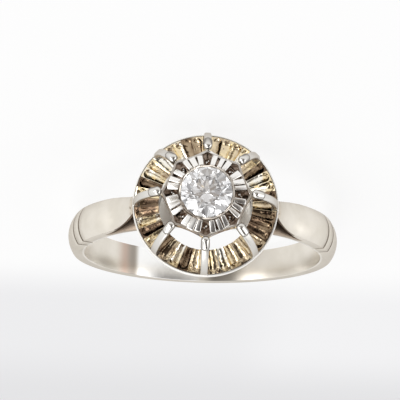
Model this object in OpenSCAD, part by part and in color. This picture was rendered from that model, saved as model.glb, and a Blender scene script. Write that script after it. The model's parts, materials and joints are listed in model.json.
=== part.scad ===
// Solitaire ring with a two-tier illusion head, lying on its side as it rests by itself.
// Each piece is drawn standing: X across the hand, Y along the finger, Z towards the stone,
// with the origin at the middle of the finger hole. lying() lays it down.

/* [Finger band] */
// Radius of the finger hole
finger_r = 8.65; // [8.4:0.05:8.9]
// Thickness of the band at its crest
band_t = 1.2; // [1.15:0.05:1.25]
// Width of the band at its bottom
band_w = 2.2; // [2:0.05:2.3]
// Width of the band at its shoulders
shoulder_w = 2.52; // [2.4:0.02:2.56]
// Radius of the dome across the band
dome_r = 2.03; // [1.95:0.01:2.2]
// Thickness of the finger rail under the head
rail_t = 0.36; // [0.3:0.02:0.4]

/* [Shoulders] */
// Angle from the top at which a shoulder leaves the band
leave_a = 44; // [43:0.5:45]
// Radius of a shoulder's hollow sweep up to the cup
sweep_r = 7.6; // [7.2:0.1:8]
// Distance from the head's axis at which a leaf starts to narrow
leaf_x = 6.8; // [6.6:0.1:7]
// Half the width of a leaf where it starts to narrow
leaf_half = 1.2; // [1.16:0.01:1.22]
// Half the width of a leaf at its tip
leaf_tip_half = 0.6; // [0.55:0.05:0.65]
// Angles of the engraved grooves, from the top
groove_angles = [65, 71.5]; // [64:0.5:72]
// Width of a groove
groove_w = 0.15; // [0.1:0.01:0.2]
// Depth of a groove
groove_d = 0.1; // [0.06:0.01:0.12]

/* [Cup] */
// Radius of the cup's smooth rim
rim_r = 4.95; // [4.9:0.05:5]
// Height of the rim's top above the middle of the finger hole
rim_z = 10.47; // [10.4:0.01:10.5]
// Thickness of the thin rim round the flutes
rim_t = 0.1; // [0.09:0.01:0.12]
// Radius of the opening in the cup
cup_hole_r = 3.18; // [3.16:0.01:3.22]
// Flutes round the cup
flutes = 40; // [40:4:44]
// Half the width of a flute at the cup's opening
flute_in_half = 0.23; // [0.21:0.01:0.23]
// Half the width of a flute near the rim
flute_out_half = 0.325; // [0.3:0.005:0.325]

/* [Claws] */
// Width of a claw
claw_w = 0.52; // [0.48:0.01:0.54]
// Thickness of a claw
claw_t = 0.4; // [0.36:0.01:0.42]
// Radius of a claw's outer curve, from the rim up to the plate
arch_r = 3.6; // [3.55:0.01:3.65]
// Radius of the knob on a claw
knob_r = 0.31; // [0.29:0.01:0.32]

/* [Plate and stone] */
// Radius of the plate over its corners
plate_r = 3; // [2.98:0.01:3.02]
// Radius of the plate at the middle of a side
plate_waist_r = 2.71; // [2.7:0.01:2.74]
// Height of the plate's rim
plate_z = 13.35; // [13.33:0.01:13.37]
// Width of a pair of bright-cut bars at their inner ends
bars_w = 0.7; // [0.6:0.02:0.74]
// Radius of the stone
stone_r = 1.725; // [1.7:0.005:1.73]
// Height of the stone's girdle
girdle_z = 13.67; // [13.65:0.01:13.7]
// Angle of the stone's crown facets
crown_a = 34; // [32:0.5:35]
// Angle of the stone's main facets below the girdle
pavilion_a = 41; // [40:0.5:42]

/* [Hidden] */
$fn = 48;
gap = 0.03;
// Length of a cutter that only has to pass right through
far = 12;
// How much larger a ball is than the rod that it ends, so that they cross cleanly
blend = 0.005;
claws = 8;
claw_step = 360 / claws;
outer_r = finger_r + band_t;
rail_r = finger_r + rail_t;
// Metal inside the finger hole before it is bored
bore_stock = 0.3;

// Half the width of the band at four heights
side_rows = [[-10.5, band_w / 2], [3.5, shoulder_w / 2], [6.6, leaf_half], [12, leaf_half]];
function side_half(z) = lookup(z, side_rows);
// Radius of the band's outer edge where its half width is w
function edge_r(w) = outer_r - dome_r + sqrt(dome_r * dome_r - w * w);

// A leaf's tip and the corners of the window under it, as [x, z]
leaf_tip = [rim_r + 0.04, 10.4];
window_low_a = 48.5;
window_high = [4.35, 9.72];
sweep_sink = 0.02;
sweep_c = outer_r + sweep_r - sweep_sink;
sweep_edge = 0.6;
// A shoulder's rough block: its width, a corner inside the finger hole and its start below the sweep
rough_w = 3;
rough_corner = [3, 5];
rough_start_a = leave_a + 2;
trim_w = 4;
trim_low_z = 3;
inside_r = 8;

rim_low_z = 10.08;
rim_chamfer = 0.05;
rim_in_r = rim_r - rim_t;
cup_r = rim_in_r - gap;
cup_in_z = 10.65;
cup_floor_z = 9.8;
collet_low_z = 7;
collet_low_r = 3.5;
collet_top_r = 4.2;
rim_clear_z = 9.5;
// Height of the cup's and the rim's underside, and of the cup's top, at a distance r from the head's axis
function under_z(r) = lookup(r, [[collet_top_r, cup_floor_z], [rim_r, rim_low_z]]);
function top_z(r) = lookup(r, [[cup_hole_r, cup_in_z], [cup_r, rim_z]]);
// The cup's edge rests on a ledge inside the rim
ledge_r = 4.45;
ledge_z = 10.16;
// A flute is round about an axis above the cup's top, by lift_in at the opening and lift_out at its end
lift_in = 0.2;
lift_out = 0.24;
flute_in_r = sqrt(flute_in_half ^ 2 + lift_in ^ 2);
flute_out_r = sqrt(flute_out_half ^ 2 + lift_out ^ 2);
flute_land = 0.05;
flute_end_r = cup_r - flute_land - flute_out_half;
flute_from = [cup_hole_r, cup_in_z + lift_in];
flute_to = [flute_end_r, top_z(flute_end_r) + lift_out];
// Half the angle of the sector that a flute's cutter is kept in, so that neighbours stay apart
flute_half_a = 180 / flutes - 0.1;

// A claw stands in a notch in the cup's edge and rises along an arc, up to the plate's corner
claw_inset = 0.03;
arch_c = [rim_r - claw_inset - arch_r, rim_z];
claw_end_a = acos((plate_r + 2 * gap - arch_c[0]) / (arch_r - claw_t));
claw_drop = 0.35;
claw_foot_r = arch_c[0] + sqrt((arch_r - claw_t) ^ 2 - claw_drop ^ 2);
// Both ends of a knob, as [distance from the axis, height]: one in the bar, one over the plate's corner
knob_low_a = 48.5;
knob_rise = 0.1;
knob_low = arch_c + (arch_r - knob_rise) * [cos(knob_low_a), sin(knob_low_a)];
knob_out = 0.18;
knob_up = 0.33;
knob_tip = [plate_r + knob_out, plate_z + knob_up];

// The plate's hollow sides are arcs of side_r about side_c, and its rim stands round a tray
side_r = 5.6;
side_c = plate_waist_r + side_r;
plate_low_z = plate_z - 0.48;
plate_tray_z = plate_z - 0.2;
plate_rim_w = 0.15;
collar_r = 1.86;
collar_z = plate_z + 0.3;
// The bars' cone, from its outer edge to the collar, as [radius, height], and how deep it goes in
bars_out = [2.52, plate_z - 0.08];
bars_in = [1.8, plate_z + 0.16];
bars_sink = 0.1;
// The groove between the two bars of a pair: its width, its depth and how far it runs past them
bar_cut_w = 0.12;
bar_cut_d = 0.12;
bar_cut_over = 0.1;
// How much wider a pair of bars is at its outer ends
bars_spread = 1.28;
// Half the width of the space between two pairs, at the inner and the outer end of the bars
corner_in = bars_in[0] * tan(claw_step / 2) - bars_w / 2;
corner_out = bars_out[0] * tan(claw_step / 2) - bars_spread * bars_w / 2;
// A drilled pit beside each claw
pit_r = 0.2;
pit_x = 2.2;
pit_d = 0.14;
// The stone's girdle, and its seat: the hole under it and its cone, wider all over than the stone
girdle_t = 0.06;
seat_hole_r = 1.3;
seat_r = stone_r + gap;
seat_z = girdle_z - girdle_t / 2 - gap;
seat_h = seat_r * tan(pavilion_a);
table_share = 0.56;
star_share = 0.8;
lower_share = 0.24;
table_z = girdle_z + girdle_t / 2 + stone_r * (1 - table_share) * tan(crown_a);

// How the ring rests: the rim's back edge and the band's back edge touch the floor
rest_half = side_half(-edge_r(band_w / 2));
rest_edge = edge_r(rest_half);
rest_tilt = atan((rim_r - rest_half) / (rim_low_z + rest_edge));
rest_up = rest_half * cos(rest_tilt) + rest_edge * sin(rest_tilt);
// How far an edge, as [distance from the head's axis, height], stands out to the front of the lying ring
function reach(edge) = edge[1] * cos(rest_tilt) + edge[0] * sin(rest_tilt);
front_reach = max(reach([stone_r * table_share, table_z]), reach(knob_tip) + knob_r + blend);
back_reach = (outer_r - dome_r) * cos(rest_tilt) + dome_r;
rest_shift = (front_reach - back_reach) / 2;

module lying() {
    translate([0, rest_shift, rest_up]) rotate([0, 0, 180]) rotate([rest_tilt - 90, 0, 0]) children();
}

// Extrudes an outline drawn in X and Z across the finger
module across(w) {
    rotate([90, 0, 0]) linear_extrude(w, center = true) children();
}

// Repeats its children round the head, one for each claw
module round_head() {
    for (i = [0 : claws - 1]) rotate([0, 0, i * claw_step]) children();
}

// Turns a shape that points along +Z so that it points outwards along +X, falling by a
module outwards(a = 0) {
    rotate([0, 90 + a, 0]) children();
}

// The domed band, turned about the finger, its section shrunk by inset
module domed_band(inset = 0) {
    rotate([90, 0, 0]) rotate_extrude() intersection() {
        translate([outer_r - dome_r, 0]) circle(dome_r - inset);
        translate([finger_r - bore_stock, -far / 2]) square(far);
    }
}

// Side view of the band's width, from the bottom to above the head
module side_wedge(inset = 0) {
    rotate([0, 0, 90]) across(2 * far) polygon(concat(
        [for (s = side_rows) [s[1] - inset, s[0]]],
        [for (i = [len(side_rows) - 1 : -1 : 0]) [inset - side_rows[i][1], side_rows[i][0]]]));
}

// The body of one shoulder before its leaf is cut, up to the leaf's tip
module shoulder_blank() {
    low = outer_r * [sin(rough_start_a), cos(rough_start_a)];
    difference() {
        across(rough_w) polygon([rough_corner, low, leaf_tip, [rough_corner[0], leaf_tip[1]]]);
        translate(sweep_c * [sin(leave_a), 0, cos(leave_a)]) rotate([90, 0, 0]) rotate_extrude() {
            difference() {
                translate([0, -trim_w / 2]) square([sweep_r + sweep_edge, trim_w]);
                translate([sweep_r + dome_r, 0]) circle(dome_r);
            }
        }
    }
}

// All that lies outside the two pointed leaves, seen from the stone
module leaf_trim() {
    narrowing = leaf_half - leaf_tip_half;
    arc_r = ((leaf_x - leaf_tip[0]) ^ 2 + narrowing ^ 2) / narrowing / 2;
    translate([0, 0, trim_low_z]) linear_extrude(far) difference() {
        square([2 * leaf_x, trim_w], center = true);
        for (side = [-1, 1]) intersection() {
            translate([side * leaf_x, arc_r - leaf_half]) circle(arc_r);
            translate([side * leaf_x, leaf_half - arc_r]) circle(arc_r);
        }
    }
}

// The open space under both leaves, above the finger rail
module leaf_windows() {
    low = [sin(window_low_a), cos(window_low_a)];
    half = [inside_r * low, rail_r * low, window_high, [window_high[0], far]];
    across(trim_w) polygon(concat([[0, rough_corner[1]]], half,
        [for (i = [len(half) - 1 : -1 : 0]) [-half[i][0], half[i][1]]]));
}

module grooves() {
    difference() {
        for (a = groove_angles, side = [-1, 1])
            rotate([0, side * a, 0]) translate([0, 0, finger_r])
                linear_extrude(2 * band_t) square([groove_w, trim_w], center = true);
        intersection() {
            domed_band(groove_d);
            side_wedge(groove_d);
        }
    }
}

module shank() {
    color("#dcd6cb") lying() difference() {
        intersection() {
            union() {
                difference() {
                    union() {
                        domed_band();
                        shoulder_blank();
                        mirror([1, 0, 0]) shoulder_blank();
                    }
                    leaf_trim();
                    leaf_windows();
                    translate([0, 0, rim_clear_z]) cylinder(r = rim_r + gap, h = far);
                }
                rotate([90, 0, 0]) cylinder(r = rail_r, h = rough_w, center = true);
            }
            side_wedge();
        }
        rotate([90, 0, 0]) cylinder(r = finger_r, h = far, center = true);
        grooves();
    }
}

module collet() {
    color("#c9c4ba") lying() difference() {
        translate([0, 0, collet_low_z])
            cylinder(r1 = collet_low_r, r2 = collet_top_r, h = cup_floor_z - gap - collet_low_z);
        cylinder(r = cup_hole_r, h = far);
        rotate([90, 0, 0]) cylinder(r = rail_r + gap, h = far, center = true);
    }
}

// One radial flute: a shallow hollow that widens outwards, with a round end
module flute() {
    overrun = 0.5;
    along = flute_to - flute_from;
    growth = (flute_out_r - flute_in_r) / norm(along);
    side = far * tan(flute_half_a);
    intersection() {
        translate([flute_from[0], 0, flute_from[1]]) outwards(atan2(-along[1], along[0])) {
            translate([0, 0, -overrun])
                cylinder(r1 = flute_in_r - overrun * growth, r2 = flute_out_r, h = norm(along) + overrun);
            translate([0, 0, norm(along)]) sphere(flute_out_r + blend);
        }
        linear_extrude(2 * far) polygon([[0, 0], [far, -side], [far, side]]);
    }
}

// The cup inside the rim, its flutes side by side with sharp ridges, and a notch for each claw's foot
module fluted_cup() {
    edge_in_r = ledge_r - gap;
    color("#c4b496") lying() difference() {
        rotate_extrude() polygon([[cup_hole_r, cup_floor_z], [collet_top_r, cup_floor_z],
            [edge_in_r, under_z(edge_in_r)], [edge_in_r, ledge_z + gap], [cup_r, ledge_z + gap],
            [cup_r, rim_z], [cup_hole_r, cup_in_z]]);
        for (i = [0 : flutes - 1]) rotate([0, 0, i * 360 / flutes]) flute();
        round_head() translate([claw_foot_r - gap, -claw_w / 2 - gap, ledge_z - gap])
            cube([claw_t + gap, claw_w + 2 * gap, claw_t + gap]);
    }
}

// One claw: a flat bar that arches up from the rim, and the knob that holds the plate's corner
module claw() {
    across(claw_w) translate(arch_c) intersection() {
        difference() {
            circle(arch_r);
            circle(arch_r - claw_t);
        }
        polygon([[0, 0], [0, -claw_drop], [far, -claw_drop], [far, far],
            far * [cos(claw_end_a), sin(claw_end_a)]]);
    }
    along = knob_tip - knob_low;
    translate([knob_low[0], 0, knob_low[1]]) rotate([0, atan2(along[0], along[1]), 0]) {
        sphere(knob_r + blend);
        cylinder(r = knob_r, h = norm(along));
        translate([0, 0, norm(along)]) sphere(knob_r + blend);
    }
}

// The thin rim with its ledge, and the eight claws that stand on it
module claw_crown() {
    color("#d5d2cc") lying() {
        rotate_extrude() polygon([[ledge_r, under_z(ledge_r)], [rim_r, rim_low_z],
            [rim_r, rim_z - rim_chamfer], [rim_r - rim_chamfer, rim_z], [rim_in_r, rim_z],
            [rim_in_r, ledge_z], [ledge_r, ledge_z]]);
        round_head() claw();
    }
}

// The plate seen from the stone: eight corners, hollow sides, all drawn in by inset
module plate_outline(inset = 0) {
    difference() {
        circle(plate_r - inset);
        for (i = [0 : claws - 1])
            rotate((i + 0.5) * claw_step) translate([side_c, 0]) circle(side_r + inset);
    }
}

// The groove between the two bars of a pair, a V that follows the bars' cone
module bar_cut() {
    fall = bars_out - bars_in;
    translate([bars_in[0], 0, bars_in[1]]) outwards(atan2(-fall[1], fall[0])) rotate([0, 0, 90])
        linear_extrude(norm(fall) + bar_cut_over)
            polygon([[0, -bar_cut_d], [bar_cut_w, bar_cut_d], [-bar_cut_w, bar_cut_d]]);
}

// The open space between two pairs of bars, down to the tray
module bar_corner() {
    translate([0, 0, plate_tray_z]) linear_extrude(far) polygon([[bars_in[0], corner_in],
        [bars_out[0], corner_out], [plate_r, corner_out], [plate_r, -corner_out],
        [bars_out[0], -corner_out], [bars_in[0], -corner_in]]);
}

module illusion_plate() {
    color("#cfcac2") lying() difference() {
        union() {
            difference() {
                translate([0, 0, plate_low_z]) linear_extrude(plate_z - plate_low_z) plate_outline();
                translate([0, 0, plate_tray_z]) linear_extrude(far) plate_outline(plate_rim_w);
                round_head() translate([pit_x, 0, plate_tray_z - pit_d]) cylinder(r = pit_r, h = far);
            }
            difference() {
                rotate_extrude() polygon([[seat_hole_r, plate_tray_z - bars_sink], [bars_out[0],
                    plate_tray_z - bars_sink], bars_out, bars_in, [seat_hole_r, bars_in[1]]]);
                round_head() rotate([0, 0, claw_step / 2]) bar_cut();
                round_head() bar_corner();
                round_head() translate([pit_x, 0, plate_tray_z - pit_d]) cylinder(r = pit_r, h = far);
            }
            translate([0, 0, plate_tray_z]) cylinder(r = collar_r, h = collar_z - plate_tray_z);
        }
        translate([0, 0, seat_z - seat_h]) cylinder(r1 = 0, r2 = seat_r, h = seat_h);
        translate([0, 0, seat_z]) cylinder(r = seat_r, h = far);
        cylinder(r = seat_hole_r, h = seat_z);
    }
}

// Corners of the brilliant: table, star, upper girdle, lower girdle, lower halves and culet
function ring_of(n, turn, r, z) = [for (i = [0 : n - 1])
    [stone_r * r * cos(turn + i * 360 / n), stone_r * r * sin(turn + i * 360 / n), z]];
function crown_z(reach) = girdle_z + girdle_t / 2 + stone_r * (1 - reach) * tan(crown_a);
function pavilion_z(reach) = girdle_z - girdle_t / 2 - stone_r * (1 - reach) * tan(pavilion_a);

module diamond() {
    half = cos(22.5);
    points = concat(
        ring_of(8, 0, table_share, crown_z(table_share)),
        ring_of(8, 22.5, star_share, crown_z(star_share * half)),
        ring_of(16, 0, 1, girdle_z + girdle_t / 2),
        ring_of(16, 0, 1, girdle_z - girdle_t / 2),
        ring_of(8, 22.5, lower_share, pavilion_z(lower_share * half)),
        [[0, 0, pavilion_z(0)]]);
    star = 8;
    upper = 16;
    lower = 32;
    halves = 48;
    culet = 56;
    faces = concat(
        [[for (i = [7 : -1 : 0]) i]],
        [for (i = [0 : 7]) [i, (i + 1) % 8, star + i]],
        [for (i = [0 : 7]) [i, star + i, upper + 2 * i, star + (i + 7) % 8]],
        [for (i = [0 : 7]) [star + i, upper + 2 * i + 1, upper + 2 * i]],
        [for (i = [0 : 7]) [star + i, upper + (2 * i + 2) % 16, upper + 2 * i + 1]],
        [for (i = [0 : 15]) [upper + i, upper + (i + 1) % 16, lower + (i + 1) % 16, lower + i]],
        [for (i = [0 : 7]) [lower + 2 * i, lower + 2 * i + 1, halves + i]],
        [for (i = [0 : 7]) [lower + 2 * i + 1, lower + (2 * i + 2) % 16, halves + i]],
        [for (i = [0 : 7]) [lower + 2 * i, halves + i, culet, halves + (i + 7) % 8]]);
    color("#e8f0f4") lying() polyhedron(points, faces);
}

shank();
collet();
fluted_cup();
claw_crown();
illusion_plate();
diamond();
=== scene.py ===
"""Solitaire ring with a two-tier illusion head, lying on its side on a pale floor."""
import json
import math
import random

import bpy
from mathutils import Matrix, Vector


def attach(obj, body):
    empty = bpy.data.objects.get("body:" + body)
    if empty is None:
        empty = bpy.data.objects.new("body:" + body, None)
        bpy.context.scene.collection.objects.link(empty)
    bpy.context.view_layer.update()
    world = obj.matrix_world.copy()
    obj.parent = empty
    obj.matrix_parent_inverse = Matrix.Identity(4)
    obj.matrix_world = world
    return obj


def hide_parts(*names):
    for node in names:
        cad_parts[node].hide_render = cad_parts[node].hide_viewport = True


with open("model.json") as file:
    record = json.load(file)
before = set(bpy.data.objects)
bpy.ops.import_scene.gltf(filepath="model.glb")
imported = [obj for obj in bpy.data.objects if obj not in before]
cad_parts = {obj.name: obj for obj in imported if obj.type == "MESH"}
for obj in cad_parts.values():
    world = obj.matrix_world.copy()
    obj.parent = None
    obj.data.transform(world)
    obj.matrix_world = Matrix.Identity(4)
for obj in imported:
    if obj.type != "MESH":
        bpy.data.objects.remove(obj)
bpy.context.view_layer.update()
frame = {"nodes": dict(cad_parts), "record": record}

MM = 0.001

# The ring's own frame, from its finger hole: X across the hand, Y along the finger, Z to the stone
HOLE = frame["record"]["mounts"][0]
HOLE_CENTRE = Vector(HOLE["pos_m"])
HOLE_AXIS = Vector(HOLE["axis"]).normalized()
ACROSS = Vector((-1, 0, 0))
ALONG = -HOLE_AXIS
TO_STONE = ACROSS.cross(ALONG)
LYING = Matrix.Translation(HOLE_CENTRE) @ Matrix((ACROSS, ALONG, TO_STONE)).transposed().to_4x4()

# The view, in the ring's own frame: angles off the head's axis, distance and shift of the aim
VIEW_TILT = math.radians(14.94)
VIEW_YAW = math.radians(0.67)
VIEW_ROLL = math.radians(1.555)
VIEW_DISTANCE = 125.6 * MM
AIM_X = -0.27 * MM
AIM_UP = 2.99 * MM
LENS = 153.7
CLIP_NEAR, CLIP_FAR = 0.01, 10

# The stage, in metres and watts, and the way to the tent's dark patch
FLOOR_SIZE = 3
LIGHT_AIM = Vector((0, 0, 0.004))
LIGHT_POWER = 0.25
TO_DARK_PATCH = Vector((-0.55, -0.45, 0.70)).normalized()

# Sizes of the band, in mm and in degrees off the head's axis, as in the part
HOLE_R = 8.65
GROOVE_ANGLES = (65.0, 71.5)
# Just outside the finger rail, where its painted shade and light end
RAIL_LIMIT = 9.1

# The window under each leaf: its low corner, and the way out across its outer wall
WALL_X, WALL_Z = 6.748, 5.97
WALL_OUT_X, WALL_OUT_Z = 0.8425, 0.5388
WALL_SLACK = 0.05
# Where the painted shade starts, in the window and on the leaves' sides: height, and radius from the
# hole
WINDOW_LOW = 5.8
SIDE_LOW, SIDE_R = 6.2, 9.4

# Sizes of the head, in mm, as in the part
FLUTES = 40
CLAWS = 8
PLATE_Z = 13.35
PIT_X, PIT_Z = 2.2, 13.01
RIM_Z = 10.47
# The rim and its ledge, cut through: radius and height
RIM_SECTION = (
    (4.45, 9.893), (4.95, 10.08), (4.95, 10.42), (4.92, 10.46),
    (4.88, 10.47), (4.85, 10.46), (4.85, 10.16), (4.45, 10.16))
RIM_STEPS = 144

# The claws: middle and radius of the arch, its angle, and the bar that is swept along it
ARCH_X, ARCH_R, ARCH_END = 1.32, 3.6, math.radians(57)
ARCH_STEPS = 18
CLAW_WIDE, CLAW_THICK, CLAW_ROUND = 0.52, 0.4, 0.12
FOOT_HIGH, FOOT_FLARE, FOOT_DROP = 0.12, 1.1, 0.3
KNOB_LOW, KNOB_TIP, KNOB_R = Vector((3.6, 0, 13.26)), Vector((3.25, 0, 13.56)), 0.29
# Heights between which the knob's tone starts, and between which the painted shade on its heel ends
KNOB_START, HEEL_SHADE_END = (13.0, 13.12), (13.3, 13.12)

# The bright-cut bars: place, tilt and distance in degrees, size, and how the outer end widens
BAR_OUT, BAR_UP = 2.25, 13.39
BAR_TILT, BAR_STEP = 18, 11.4
BAR_LONG, BAR_WIDE, BAR_THICK = 0.84, 0.34, 0.26
BAR_FLARE = (1, 1.3, 0.8)
BAR_ROUND = 0.075
# The beads in each pit: shift outwards and across from its middle, and radius
BEADS = ((-0.03, 0.05, 0.12), (0.1, -0.09, 0.08))
BEAD_LIFT = 0.35

# Faces that meet flatter than this become one face
FLAT_ANGLE = math.radians(0.8)
# Edges sharper than these stay sharp
SHARP_ANGLE = math.radians(30)
CUSHION_ANGLE = math.radians(40)
# Corners nearer than these become one: in metres in a copy, in mm in what is made at the origin
COPY_MERGE = 0.0002 * MM
TURNED_MERGE = 0.0001
BAR_MERGE = 0.001

# Tones of the band's metal, and the shade, light and reflections painted on it
SATIN, SATIN_WORN, SATIN_EDGE_SHADE = (0.83, 0.785, 0.71), (0.74, 0.695, 0.615), (0.50, 0.445, 0.365)
GROOVE_SHADE = (0.42, 0.37, 0.31)
RAIL_SHADE, RAIL_LIGHT = (0.40, 0.32, 0.25), (0.95, 0.94, 0.91)
TIP_TAN, TIP_SPOT = (0.74, 0.62, 0.47), (0.22, 0.16, 0.11)
MIRROR_WHITE, MIRROR_GREY, MIRROR_DARK = (1.0, 1.0, 0.99), (0.56, 0.52, 0.46), (0.25, 0.23, 0.20)
MIRROR_ROSE, MIRROR_SHADE = (0.56, 0.44, 0.37), (0.36, 0.32, 0.28)
HOLLOW_SHADE, HOLLOW_DEEP_SHADE, HOLLOW_TAN = (0.34, 0.26, 0.19), (0.10, 0.065, 0.04), (0.4, 0.3, 0.21)

# Tones of the head's metal and of the stone, and the shade, light and reflections painted on them
COLLET_DULL, COLLET_PALE, COLLET_INSIDE_LIGHT = (0.6, 0.54, 0.46), (0.76, 0.71, 0.64), (0.94, 0.92, 0.89)
# Painted reflections, from a dark flute to a pale one: the place on the scale from 0 to 1, and its
# colour
FLUTE_REFLECTIONS = (
    (0.16, (0.15, 0.10, 0.065)), (0.32, (0.38, 0.28, 0.18)), (0.48, (0.70, 0.58, 0.41)),
    (0.66, (0.95, 0.79, 0.50)), (0.82, (0.98, 0.95, 0.87)))
CLAW_DULL, CLAW_PALE, CLAW_EDGE_SHADE = (0.69, 0.67, 0.63), (0.79, 0.775, 0.74), (0.42, 0.355, 0.275)
RIM_PALE = (0.93, 0.91, 0.87)
KNOB_HEEL_SHADE, KNOB_EDGE_SHADE = (0.28, 0.24, 0.19), (0.16, 0.135, 0.11)
CUT_DULL, CUT_PALE, CUT_EDGE_SHADE = (0.90, 0.87, 0.82), (0.98, 0.97, 0.95), (0.30, 0.25, 0.2)
PLATE_DARK, PLATE_BROWN, PIT_BROWN = (0.13, 0.09, 0.065), (0.50, 0.41, 0.34), (0.22, 0.145, 0.10)
PLATE_SIDE, PLATE_EDGE_LIGHT = (0.64, 0.585, 0.52), (0.94, 0.92, 0.88)
STONE, STONE_GLOW = (0.90, 0.90, 0.91), (0.97, 0.98, 1.0)
STONE_IOR = 2.42

# Tones of the stage
FLOOR_PALE, FLOOR_FAR_SHADE, FLOOR_BROWN = (0.83, 0.83, 0.83), (0.635, 0.635, 0.648), (0.20, 0.16, 0.125)
FLOOR_SHADE_LEFT, FLOOR_SHADE_RIGHT = (0.70, 0.70, 0.712), (0.745, 0.745, 0.755)
FLOOR_CLOTH = (0.14, 0.14, 0.14)
TENT_PALE, TENT_BROWN, TENT_DARK = (0.93, 0.93, 0.93), (0.22, 0.18, 0.14), (0.09, 0.08, 0.075)


class Value:
    """A number or colour in a shader. Arithmetic on numbers adds Math nodes."""

    def __init__(self, nodes, socket):
        self.nodes, self.socket = nodes, socket

    def calc(self, operation, *others):
        return self.nodes.add("Math", {"operation": operation}, dict(enumerate((self, *others))))

    def __add__(self, other): return self.calc("ADD", other)
    def __radd__(self, other): return self.calc("ADD", other)
    def __sub__(self, other): return self.calc("SUBTRACT", other)
    def __mul__(self, other): return self.calc("MULTIPLY", other)
    def __rmul__(self, other): return self.calc("MULTIPLY", other)
    def __truediv__(self, other): return self.calc("DIVIDE", other)
    def __pow__(self, other): return self.calc("POWER", other)
    def __abs__(self): return self.calc("ABSOLUTE")

    def __rsub__(self, other):
        return self.nodes.add("Math", {"operation": "SUBTRACT"}, {0: other, 1: self})

    def step(self, low, high):
        """0 at low, 1 at high and smooth between. Where high lies below low, the step falls."""
        falls = high < low
        ends = {"From Min": min(low, high), "From Max": max(low, high),
                "To Min": 1.0 if falls else 0.0, "To Max": 0.0 if falls else 1.0, "Value": self}
        return self.nodes.add("MapRange", {"interpolation_type": "SMOOTHSTEP"}, ends)

    def between(self, rise, fall):
        """1 between two places, each given as the two ends of its step."""
        return self.step(*rise) * self.step(*fall)


class Nodes:
    """A node tree that is written as expressions."""

    def __init__(self, tree):
        self.tree = tree

    def add(self, kind, settings=None, inputs=None, output=0):
        """Adds a node and gives one of its outputs. Inputs are numbers, colours or Values."""
        node = self.tree.nodes.new("ShaderNode" + kind)
        for name, setting in (settings or {}).items():
            if name == "stops":
                self.place_stops(node.color_ramp, setting)
            else:
                setattr(node, name, setting)
        for name, value in (inputs or {}).items():
            self.feed(node.inputs[name], value)
        return Value(self, node.outputs[output])

    @staticmethod
    def place_stops(ramp, stops):
        while len(ramp.elements) < len(stops):
            ramp.elements.new(0.5)
        for element, (place, colour) in zip(ramp.elements, stops):
            element.position = place
            element.color = (*colour, 1)

    def feed(self, socket, value):
        if isinstance(value, Value):
            self.tree.links.new(value.socket, socket)
        elif socket.type == "RGBA":
            socket.default_value = (*value, 1)
        else:
            socket.default_value = value

    def mix(self, mask, low, high):
        """A colour that goes from low to high as mask goes from 0 to 1."""
        factor, low_colour, high_colour, mixed_colour = 0, 6, 7, 2
        return self.add("Mix", {"data_type": "RGBA"},
                        {factor: mask, low_colour: low, high_colour: high}, mixed_colour)

    def dot(self, vector, axis):
        return self.add("VectorMath", {"operation": "DOT_PRODUCT"}, {0: vector, 1: axis}, "Value")


class Finish(Nodes):
    """A material of the ring. Places on it are in the ring's own frame, in mm."""

    def __init__(self, name, metallic=1.0):
        self.material = bpy.data.materials.new(name)
        self.material.use_nodes = True
        super().__init__(self.material.node_tree)
        self.shader = self.tree.nodes["Principled BSDF"]
        self.set("Metallic", metallic)
        self.place = self.add("TexCoord", output="Object")

    def set(self, name, value):
        self.feed(self.shader.inputs[name], value)

    def along(self, axis):
        """Distance from the middle of the finger hole along one axis."""
        return (self.dot(self.place, axis) - axis.dot(HOLE_CENTRE)) / MM

    def head_radius(self):
        """Distance from the axis of the head."""
        x, y = self.along(ACROSS), self.along(ALONG)
        return (x * x + y * y) ** 0.5

    def hole_radius(self):
        """Distance from the axis of the finger hole."""
        x, z = self.along(ACROSS), self.along(TO_STONE)
        return (x * x + z * z) ** 0.5

    def slant(self):
        """0 where the surface is seen straight on, 1 where it is seen edge on."""
        return self.add("LayerWeight", inputs={"Blend": 0.5}, output="Facing")

    def noise(self, per_mm, detail):
        """Cloudy numbers about 0.5, finer with more clouds to the mm."""
        return self.add("TexNoise", inputs={
            "Vector": self.place, "Scale": per_mm / MM, "Detail": detail})

    def chance(self, number):
        """A random number from 0 to 1 for each whole number."""
        return self.add("TexWhiteNoise", {"noise_dimensions": "1D"}, {"W": number})

    def bump(self, height, deep):
        self.set("Normal", self.add("Bump", inputs={
            "Height": height, "Distance": deep * MM, "Strength": 1.0}))


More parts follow.
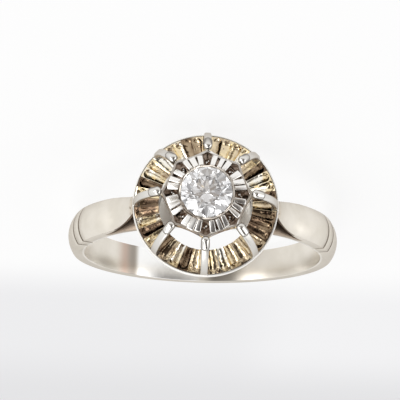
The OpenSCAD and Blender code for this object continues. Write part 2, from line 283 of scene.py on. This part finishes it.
def satin_gold():
    """Worn satin outside with two grooves on each shoulder, polish where the finger rubs; painted
    shade in the grooves, at the edges and under the leaves, painted light under the head, painted
    reflections inside.
    """
    finish = Finish("satin_white_gold")
    x, height, radius = finish.along(ACROSS), finish.along(TO_STONE), finish.hole_radius()
    outside = radius.step(HOLE_R + 0.03, HOLE_R + 0.2)
    on_rail = radius.step(RAIL_LIMIT + 0.05, RAIL_LIMIT - 0.05)
    cloudy = finish.noise(0.5, 3.0)
    fine = finish.noise(9.0, 3.0)
    metal = finish.mix(cloudy.step(0.35, 0.7), SATIN, SATIN_WORN)

    # The finger rail, with painted shade under the leaves and painted light under the head
    rail = radius.step(HOLE_R + 0.05, HOLE_R + 0.15) * on_rail
    metal = finish.mix(rail * height.between((5.75, 6.0), (8.2, 7.6)), metal, RAIL_SHADE)
    metal = finish.mix(on_rail * height.step(7.8, 8.3), metal, RAIL_LIGHT)

    # The leaves' tips, tan and spotted next to the cup
    tip = abs(x).step(6.0, 5.3) * height.step(9.2, 9.7)
    spots = finish.noise(3.6, 1.0).step(0.56, 0.66)
    metal = finish.mix(tip * 0.5, metal, TIP_TAN)
    metal = finish.mix(tip * spots, metal, TIP_SPOT)
    # Painted shade where the outside is seen edge on
    metal = finish.mix(finish.slant().step(0.45, 0.95) * outside * 0.8, metal, SATIN_EDGE_SHADE)

    # What the polished inside mirrors, away from the stone
    low = height.step(0.0, -3.0) * (1 - outside)
    metal = finish.mix(low * x.between((-5.2, -4.7), (0.4, -0.6)), metal, MIRROR_WHITE)
    metal = finish.mix(low * x.between((-0.4, 1.2), (6.4, 3.4)), metal, MIRROR_GREY)
    metal = finish.mix(low * x.between((0.2, 1.2), (3.8, 2.2)), metal, MIRROR_DARK)
    metal = finish.mix(low * x.between((-6.6, -5.8), (-5.0, -5.6)), metal, MIRROR_ROSE)
    metal = finish.mix(low * x.between((-5.9, -5.3), (-4.7, -5.2)), metal, MIRROR_SHADE)

    # Painted shade along the two grooves on each shoulder
    angle = abs(x.calc("ARCTAN2", height)) * math.degrees(1)
    first, second = (abs(angle - middle).step(1.0, 0.35) for middle in GROOVE_ANGLES)
    finish.set("Base Color", finish.mix((first + second) * outside, metal, GROOVE_SHADE))
    finish.set("Roughness", 0.3 + outside * 0.07 + outside * cloudy * 0.12)
    finish.bump(fine * outside + spots * tip * 4.0, 0.006)
    return finish.material


def hollow_shade_gold():
    """Painted brown shade at the leaves' sides, darkest next to the cup."""
    finish = Finish("hollow_shade_white_gold")
    rough = finish.noise(3.0, 3.0)
    near_cup = abs(finish.along(ACROSS)).step(7.6, 6.5)
    # Painted brown shade, deepest next to the cup
    brown = finish.mix(near_cup, HOLLOW_SHADE, HOLLOW_DEEP_SHADE)
    finish.set("Base Color", finish.mix(rough * 0.25, brown, HOLLOW_TAN))
    finish.set("Roughness", 0.25 + rough * 0.2)
    return finish.material


def plain_gold():
    """Plain polish, a little dull outside, smoother inside the tube and painted light there."""
    finish = Finish("plain_white_gold")
    cloudy = finish.noise(1.2, 3.0)
    inside = finish.head_radius().step(3.4, 3.25)
    metal = finish.mix(cloudy, COLLET_DULL, COLLET_PALE)
    # Painted light inside the tube
    finish.set("Base Color", finish.mix(inside, metal, COLLET_INSIDE_LIGHT))
    finish.set("Roughness", 0.25 + cloudy * 0.15 - inside * 0.2)
    return finish.material


def fluted_gold():
    """Mirror polish in the flutes, each flute with its own painted reflection, from dark brown to
    pale gold highlights.
    """
    finish = Finish("fluted_white_gold")
    radius = finish.head_radius()
    azimuth = finish.along(ALONG).calc("ARCTAN2", finish.along(ACROSS))
    flute = (azimuth * (FLUTES / math.tau) + 0.5).calc("FLOOR")
    own = finish.chance(flute)
    lean = finish.chance(flute + 60.0) - 0.5
    dip = finish.chance(flute + 120.0) - 0.5
    patchy = finish.noise(0.9, 2.0)
    # Each flute's painted reflection, mostly its own and partly cloudy
    tone = 0.7 * own + 0.3 * patchy.step(0.3, 0.7)
    finish.set("Base Color", finish.add("ValToRGB", {"stops": FLUTE_REFLECTIONS}, {"Fac": tone}))
    finish.set("Roughness", 0.06 + patchy * 0.08)
    sideways = (azimuth - flute * (math.tau / FLUTES)) * radius
    uneven = finish.noise(2.2, 2.0) * 0.07
    finish.bump(uneven + sideways * lean * 0.9 + radius * dip * 0.6, 1.0)
    return finish.material


def claw_gold():
    """Soft polish on the claws, with painted shade at their edges, a pale rim, and bright knobs with
    painted shade on their heels and edges.
    """
    finish = Finish("polished_white_gold")
    cloudy = finish.noise(1.5, 2.0)
    fine = finish.noise(12.0, 2.0)
    height = finish.along(TO_STONE)
    slant = finish.slant()
    rim = height.step(RIM_Z + 0.13, RIM_Z + 0.03)
    knob = height.step(*KNOB_START)
    heel = knob * height.step(*HEEL_SHADE_END)
    metal = finish.mix(cloudy, CLAW_DULL, CLAW_PALE)
    # Painted shade where the claws are seen edge on, above the rim
    edge = slant.step(0.35, 0.9) * height.step(RIM_Z + 0.03, RIM_Z + 0.23)
    metal = finish.mix(edge * 0.75, metal, CLAW_EDGE_SHADE)
    metal = finish.mix(rim, metal, RIM_PALE)
    # Painted shade on the knob's heel, and along its edges where it is seen edge on
    metal = finish.mix(heel * 0.7, metal, KNOB_HEEL_SHADE)
    finish.set("Base Color", finish.mix(knob * slant.step(0.3, 0.62), metal, KNOB_EDGE_SHADE))
    finish.set("Roughness", 0.28 + cloudy * 0.14 - knob * 0.16 + rim * 0.16)
    finish.bump(fine, 0.002)
    return finish.material


def bright_gold():
    """Bright cuts, almost white where they are seen straight on, with painted shade where they are
    seen edge on.
    """
    finish = Finish("bright_cut_white_gold")
    cloudy = finish.noise(2.5, 2.0)
    metal = finish.mix(cloudy, CUT_DULL, CUT_PALE)
    # Painted shade where the cuts are seen edge on
    finish.set("Base Color", finish.mix(finish.slant().step(0.3, 0.8) * 0.7, metal, CUT_EDGE_SHADE))
    finish.set("Roughness", 0.14 + cloudy * 0.16)
    return finish.material


def pitted_gold():
    """The plate under its cut bars: rough and gone brown, with painted light along the top of its
    edge, and a bright collar.
    """
    finish = Finish("pitted_white_gold")
    height, radius = finish.along(TO_STONE), finish.head_radius()
    rough = finish.noise(5.0, 3.0)
    edge = height.step(PLATE_Z - 0.05, PLATE_Z - 0.02) * radius.step(2.5, 2.56)
    inside = radius.between((1.85, 1.92), (2.9, 2.75)) * (1 - edge)
    pit = height.step(PLATE_Z - 0.18, PLATE_Z - 0.24)
    brown = finish.mix(rough.step(0.38, 0.62), PLATE_DARK, PLATE_BROWN)
    brown = finish.mix(pit, brown, PIT_BROWN)
    # Painted light along the top of the plate's edge, paler than its sides
    bright = finish.mix(edge, PLATE_SIDE, PLATE_EDGE_LIGHT)
    finish.set("Base Color", finish.mix(inside, bright, brown))
    finish.set("Roughness", 0.16 + inside * 0.16)
    finish.bump(rough * inside, 0.02)
    return finish.material


def clear_stone():
    """Clear stone with a slight glow, in place of the light that a real one returns."""
    finish = Finish("diamond", metallic=0.0)
    finish.set("Base Color", STONE)
    finish.set("Roughness", 0.0)
    finish.set("Transmission Weight", 1.0)
    finish.set("IOR", STONE_IOR)
    finish.set("Emission Color", STONE_GLOW)
    finish.set("Emission Strength", 0.03)
    return finish.material


def place_camera():
    """The photo's angle to the ring, from close to the head's axis, with the stone's side up."""
    towards = Vector((-math.sin(VIEW_YAW) * math.cos(VIEW_TILT),
                      -math.sin(VIEW_TILT),
                      math.cos(VIEW_YAW) * math.cos(VIEW_TILT)))
    right = Vector((math.cos(VIEW_YAW), 0, math.sin(VIEW_YAW)))
    up = towards.cross(right)
    place = AIM_X * right + AIM_UP * up + VIEW_DISTANCE * towards
    turn = Matrix((right, up, towards)).transposed() @ Matrix.Rotation(VIEW_ROLL, 3, "Z")
    camera = bpy.data.objects.new("camera", bpy.data.cameras.new("camera"))
    bpy.context.scene.collection.objects.link(camera)
    camera.matrix_world = LYING @ (Matrix.Translation(place) @ turn.to_4x4())
    camera.data.lens = LENS
    camera.data.clip_start = CLIP_NEAR
    camera.data.clip_end = CLIP_FAR
    bpy.context.scene.camera = camera


def add_floor():
    """A pale floor, lit from within so that it stays even.

    The camera sees painted shade on it behind the ring, all rays see it shaded farther behind, and
    gloss sees it brown in front of the ring.
    """
    floor = start(bpy.ops.mesh.primitive_plane_add, size=FLOOR_SIZE)
    floor.name = "floor"
    material = bpy.data.materials.new("floor")
    material.use_nodes = True
    nodes = Nodes(material.node_tree)
    nodes.tree.nodes.clear()
    place = nodes.add("TexCoord", output="Object")
    front = nodes.dot(place, Vector((0, -1, 0))) / MM
    across = nodes.dot(place, ACROSS) / MM
    straight = nodes.add("LightPath", output="Is Camera Ray")
    glossy = nodes.add("LightPath", output="Is Glossy Ray")
    shade = nodes.mix(across.step(2.0, 9.0), FLOOR_SHADE_LEFT, FLOOR_SHADE_RIGHT)
    pale = nodes.mix(straight * front.step(-12.5, -21.5), FLOOR_PALE, shade)
    # Painted shade on the floor farther behind the ring, for all rays
    pale = nodes.mix(front.step(-31.0, -45.0), pale, FLOOR_FAR_SHADE)
    brown = glossy * front.step(18.0, 60.0) * abs(across).step(90.0, 35.0)
    lit = nodes.add("Emission", inputs={
        "Color": nodes.mix(brown, pale, FLOOR_BROWN), "Strength": 1.0})
    cloth = nodes.add("BsdfDiffuse", inputs={"Color": FLOOR_CLOTH})
    output = nodes.tree.nodes.new("ShaderNodeOutputMaterial")
    nodes.feed(output.inputs["Surface"], nodes.add("AddShader", inputs={0: lit, 1: cloth}))
    floor.data.materials.append(material)


def add_soft_box(name, place, size):
    """A rectangular light that looks at the ring."""
    light = bpy.data.objects.new(name, bpy.data.lights.new(name, "AREA"))
    bpy.context.scene.collection.objects.link(light)
    light.data.shape = "RECTANGLE"
    light.data.size, light.data.size_y = size
    light.data.energy = LIGHT_POWER
    light.location = place
    light.rotation_euler = (LIGHT_AIM - Vector(place)).to_track_quat("-Z", "Y").to_euler()


def light_studio():
    """A bright tent, brown low in front, with a dark patch to one side and three soft boxes."""
    world = bpy.data.worlds.new("studio")
    world.use_nodes = True
    nodes = Nodes(world.node_tree)
    towards = nodes.add("TexCoord", output="Generated")
    height = nodes.dot(towards, Vector((0, 0, 1)))
    front = nodes.dot(towards, Vector((0, -1, 0)))
    low_front = height.step(0.5, 0.05) * front.step(0.5, 0.9)
    patch = nodes.dot(towards, TO_DARK_PATCH).step(0.66, 0.86)
    tent = nodes.mix(low_front, TENT_PALE, TENT_BROWN)
    tent = nodes.mix(patch, tent, TENT_DARK)
    background = world.node_tree.nodes["Background"]
    nodes.feed(background.inputs["Color"], tent)
    nodes.feed(background.inputs["Strength"], 1.0)
    bpy.context.scene.world = world
    add_soft_box("left_box", (0.22, -0.16, 0.10), (0.12, 0.2))
    add_soft_box("right_box", (-0.26, -0.08, 0.14), (0.2, 0.24))
    add_soft_box("top_box", (0.08, -0.02, 0.3), (0.2, 0.2))


def pick(piece, *others):
    """Selects a piece, alone or with others, and makes it the active one."""
    bpy.ops.object.select_all(action="DESELECT")
    for part in (piece, *others):
        part.select_set(True)
    bpy.context.view_layer.objects.active = piece


def start(primitive, **sizes):
    """Adds a primitive with nothing else selected."""
    bpy.ops.object.select_all(action="DESELECT")
    primitive(**sizes)
    return bpy.context.object


def copy_of(part):
    """A copy with its own mesh."""
    copy = part.copy()
    copy.data = part.data.copy()
    bpy.context.scene.collection.objects.link(copy)
    return copy


def dress(piece, material):
    """Gives a piece one finish all over."""
    piece.data.materials.clear()
    piece.data.materials.append(material)


def select_corners(piece, chosen):
    """Goes to edit mode with only those corners selected whose place is chosen."""
    bpy.ops.object.mode_set(mode="EDIT")
    bpy.ops.mesh.select_mode(type="VERT")
    bpy.ops.mesh.select_all(action="DESELECT")
    bpy.ops.object.mode_set(mode="OBJECT")
    for corner in piece.data.vertices:
        corner.select = chosen(corner.co)
    bpy.ops.object.mode_set(mode="EDIT")


def merge_corners(distance):
    """Merges the corners that share a place, in edit mode, and leaves all selected."""
    bpy.ops.mesh.select_all(action="SELECT")
    bpy.ops.mesh.remove_doubles(threshold=distance)


def round_edges(piece, width, segments, sharper_than=None):
    """Rounds the edges that are sharper than an angle, or every edge."""
    bevel = piece.modifiers.new("edges", "BEVEL")
    bevel.width = width
    bevel.segments = segments
    if sharper_than is None:
        bevel.limit_method = "NONE"
    else:
        bevel.limit_method = "ANGLE"
        bevel.angle_limit = sharper_than
    bpy.ops.object.modifier_apply(modifier="edges")


def place_on_ring(part, place):
    """Moves a part that was made at the origin, in mm, to its place in the ring's own frame."""
    pick(part)
    part.matrix_world = LYING @ Matrix.Scale(MM, 4) @ place
    bpy.ops.object.transform_apply(location=True, rotation=True, scale=True)


def join_to(piece, parts):
    pick(piece, *parts)
    bpy.ops.object.join()


def finished_copy(node, name, edge_mm):
    """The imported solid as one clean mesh, its edges rounded over by edge_mm or left sharp at 0."""
    piece = copy_of(frame["nodes"][node])
    piece.name = name
    pick(piece)
    bpy.ops.object.mode_set(mode="EDIT")
    merge_corners(COPY_MERGE)
    bpy.ops.mesh.dissolve_limited(angle_limit=FLAT_ANGLE)
    bpy.ops.object.mode_set(mode="OBJECT")
    if edge_mm > 0:
        round_edges(piece, edge_mm * MM, 2, SHARP_ANGLE)
    bpy.ops.object.shade_smooth_by_angle(angle=SHARP_ANGLE)
    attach(piece, "root")
    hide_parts(node)
    return piece


def shade_hollows(band):
    """Gives the sides of both leaves and the hollows under them their own finish of painted brown
    shade.
    """
    band.data.materials.append(hollow_shade_gold())
    for face in band.data.polygons:
        middle = (face.center - HOLE_CENTRE) / MM
        x, z = abs(middle.dot(ACROSS)), middle.dot(TO_STONE)
        radius = math.hypot(x, z)
        past_wall = (x - WALL_X) * WALL_OUT_X + (z - WALL_Z) * WALL_OUT_Z
        under = past_wall < WALL_SLACK and radius > RAIL_LIMIT and z > WINDOW_LOW
        sideways = abs(face.normal.dot(HOLE_AXIS)) > 0.6
        if under or (sideways and radius > SIDE_R and z > SIDE_LOW):
            face.material_index = 1


def one_bar():
    """A bright-cut bar: a cushion that is wider and thinner at its outer end."""
    bar = start(bpy.ops.mesh.primitive_cube_add, size=1)
    select_corners(bar, lambda place: place.x > 0)
    bpy.ops.transform.resize(value=BAR_FLARE, center_override=(0.5, 0, 0))
    bpy.ops.object.mode_set(mode="OBJECT")
    bar.scale = (BAR_LONG, BAR_WIDE, BAR_THICK)
    bpy.ops.object.transform_apply(location=False, rotation=False, scale=True)
    round_edges(bar, BAR_ROUND, 4)
    bpy.ops.object.mode_set(mode="EDIT")
    merge_corners(BAR_MERGE)
    bpy.ops.object.mode_set(mode="OBJECT")
    bpy.ops.object.shade_smooth_by_angle(angle=CUSHION_ANGLE)
    return bar


def bright_plate():
    """The plate with its cut bars, three to a side and no two alike, and beads in its pits."""
    plate = finished_copy("illusion_plate", "plate", 0)
    dress(plate, pitted_gold())
    chance = random.Random(7)
    bright = bright_gold()
    bar = one_bar()
    dress(bar, bright)
    parts = []
    for side in range(CLAWS):
        for step in (-1, 0, 1):
            turned = math.radians(BAR_STEP * step + chance.uniform(-1.4, 1.4))
            wide = chance.uniform(0.78, 1.2)
            out = BAR_OUT + chance.uniform(-0.03, 0.03)
            tilt = math.radians(BAR_TILT + chance.uniform(-5, 5))
            roll = math.radians(chance.uniform(-9, 9))
            twist = math.radians(chance.uniform(-5, 5))
            part = copy_of(bar)
            place_on_ring(part, Matrix.Rotation(math.tau / CLAWS * (side + 0.5) + turned, 4, "Z")
                          @ Matrix.Translation((out, 0, BAR_UP))
                          @ Matrix.Rotation(tilt, 4, "Y")
                          @ Matrix.Rotation(roll, 4, "X")
                          @ Matrix.Rotation(twist, 4, "Z")
                          @ Matrix.Diagonal((1, wide, 1, 1)))
            parts.append(part)
    bpy.data.objects.remove(bar)
    for claw in range(CLAWS):
        for out, across, radius in BEADS:
            bead = start(bpy.ops.mesh.primitive_uv_sphere_add,
                         segments=16, ring_count=10, radius=radius)
            bpy.ops.object.shade_smooth()
            dress(bead, bright)
            place = (PIT_X + out, across, PIT_Z + BEAD_LIFT * radius)
            place_on_ring(bead, Matrix.Rotation(math.tau * claw / CLAWS, 4, "Z")
                          @ Matrix.Translation(place))
            parts.append(bead)
    join_to(plate, parts)


def one_claw():
    """A flat bar with rounded edges, swept up in an arc from a slightly wider foot."""
    claw = start(bpy.ops.mesh.primitive_plane_add, size=1)
    claw.scale = (CLAW_THICK, CLAW_WIDE, 1)
    claw.location = (ARCH_X + ARCH_R - CLAW_THICK / 2, 0, RIM_Z)
    bpy.ops.object.transform_apply(location=True, rotation=False, scale=True)
    bpy.ops.object.mode_set(mode="EDIT")
    bpy.ops.mesh.select_mode(type="VERT")
    bpy.ops.mesh.select_all(action="SELECT")
    bpy.ops.mesh.bevel(offset=CLAW_ROUND, segments=4, affect="VERTICES")
    bpy.ops.mesh.select_all(action="SELECT")
    bpy.ops.mesh.spin(steps=ARCH_STEPS, angle=ARCH_END, center=(ARCH_X, 0, RIM_Z), axis=(0, 1, 0))
    merge_corners(TURNED_MERGE)
    bpy.ops.mesh.normals_make_consistent(inside=False)
    select_corners(claw, lambda place: place.z < RIM_Z + FOOT_HIGH)
    bpy.ops.transform.resize(value=(1, FOOT_FLARE, 1), center_override=(0, 0, 0))
    select_corners(claw, lambda place: place.z < RIM_Z + 0.001)
    bpy.ops.transform.translate(value=(0, 0, -FOOT_DROP))
    bpy.ops.object.mode_set(mode="OBJECT")
    bpy.ops.object.shade_smooth_by_angle(angle=CUSHION_ANGLE)
    return claw


def one_knob():
    """A long rounded pad, made of a ball whose upper half is drawn out along the claw's end."""
    knob = start(bpy.ops.mesh.primitive_uv_sphere_add, segments=32, ring_count=16, radius=KNOB_R)
    select_corners(knob, lambda place: place.z > 0.001)
    bpy.ops.transform.translate(value=(0, 0, (KNOB_TIP - KNOB_LOW).length))
    bpy.ops.object.mode_set(mode="OBJECT")
    bpy.ops.object.shade_smooth()
    return knob


def turned_rim():
    """The thin rim and the ledge inside it, turned from their section."""
    rim = start(bpy.ops.mesh.primitive_circle_add,
                vertices=len(RIM_SECTION), radius=1, fill_type="NGON")
    for corner, (out, up) in zip(rim.data.vertices, RIM_SECTION):
        corner.co = (out, 0, up)
    bpy.ops.object.mode_set(mode="EDIT")
    bpy.ops.mesh.select_all(action="SELECT")
    bpy.ops.mesh.spin(steps=RIM_STEPS, angle=math.tau, center=(0, 0, 0), axis=(0, 0, 1))
    merge_corners(TURNED_MERGE)
    bpy.ops.mesh.select_all(action="DESELECT")
    bpy.ops.mesh.select_interior_faces()
    bpy.ops.mesh.delete(type="FACE")
    bpy.ops.mesh.select_all(action="SELECT")
    bpy.ops.mesh.normals_make_consistent(inside=False)
    bpy.ops.object.mode_set(mode="OBJECT")
    bpy.ops.object.shade_smooth_by_angle(angle=SHARP_ANGLE)
    return rim


def clawed_crown():
    """The thin rim with eight arched claws on it, each a little different."""
    crown = turned_rim()
    crown.name = "crown"
    place_on_ring(crown, Matrix.Identity(4))
    chance = random.Random(3)
    claw, knob = one_claw(), one_knob()
    along = KNOB_TIP - KNOB_LOW
    lean = Matrix.Rotation(math.atan2(along.x, along.z), 4, "Y")
    parts = []
    for number in range(CLAWS):
        turn = Matrix.Rotation(math.tau * number / CLAWS, 4, "Z")
        part = copy_of(claw)
        place_on_ring(part, turn @ Matrix.Diagonal((1, chance.uniform(0.94, 1.0), 1, 1)))
        parts.append(part)
        wide, long = chance.uniform(1.02, 1.12), chance.uniform(0.95, 1.0)
        thick = chance.uniform(0.96, 1.0)
        part = copy_of(knob)
        place_on_ring(part, turn @ Matrix.Translation(KNOB_LOW) @ lean
                      @ Matrix.Diagonal((thick, wide, long, 1)))
        parts.append(part)
    for model in (claw, knob):
        bpy.data.objects.remove(model)
    join_to(crown, parts)
    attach(crown, "root")
    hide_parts("claw_crown")
    return crown


place_camera()
add_floor()
light_studio()
bpy.context.scene.view_settings.view_transform = "Standard"

band = finished_copy("shank", "band", 0.03)
dress(band, satin_gold())
shade_hollows(band)
dress(finished_copy("collet", "collet_tube", 0.03), plain_gold())
dress(finished_copy("fluted_cup", "cup", 0.01), fluted_gold())
dress(clawed_crown(), claw_gold())
bright_plate()
dress(frame["nodes"]["diamond"], clear_stone())
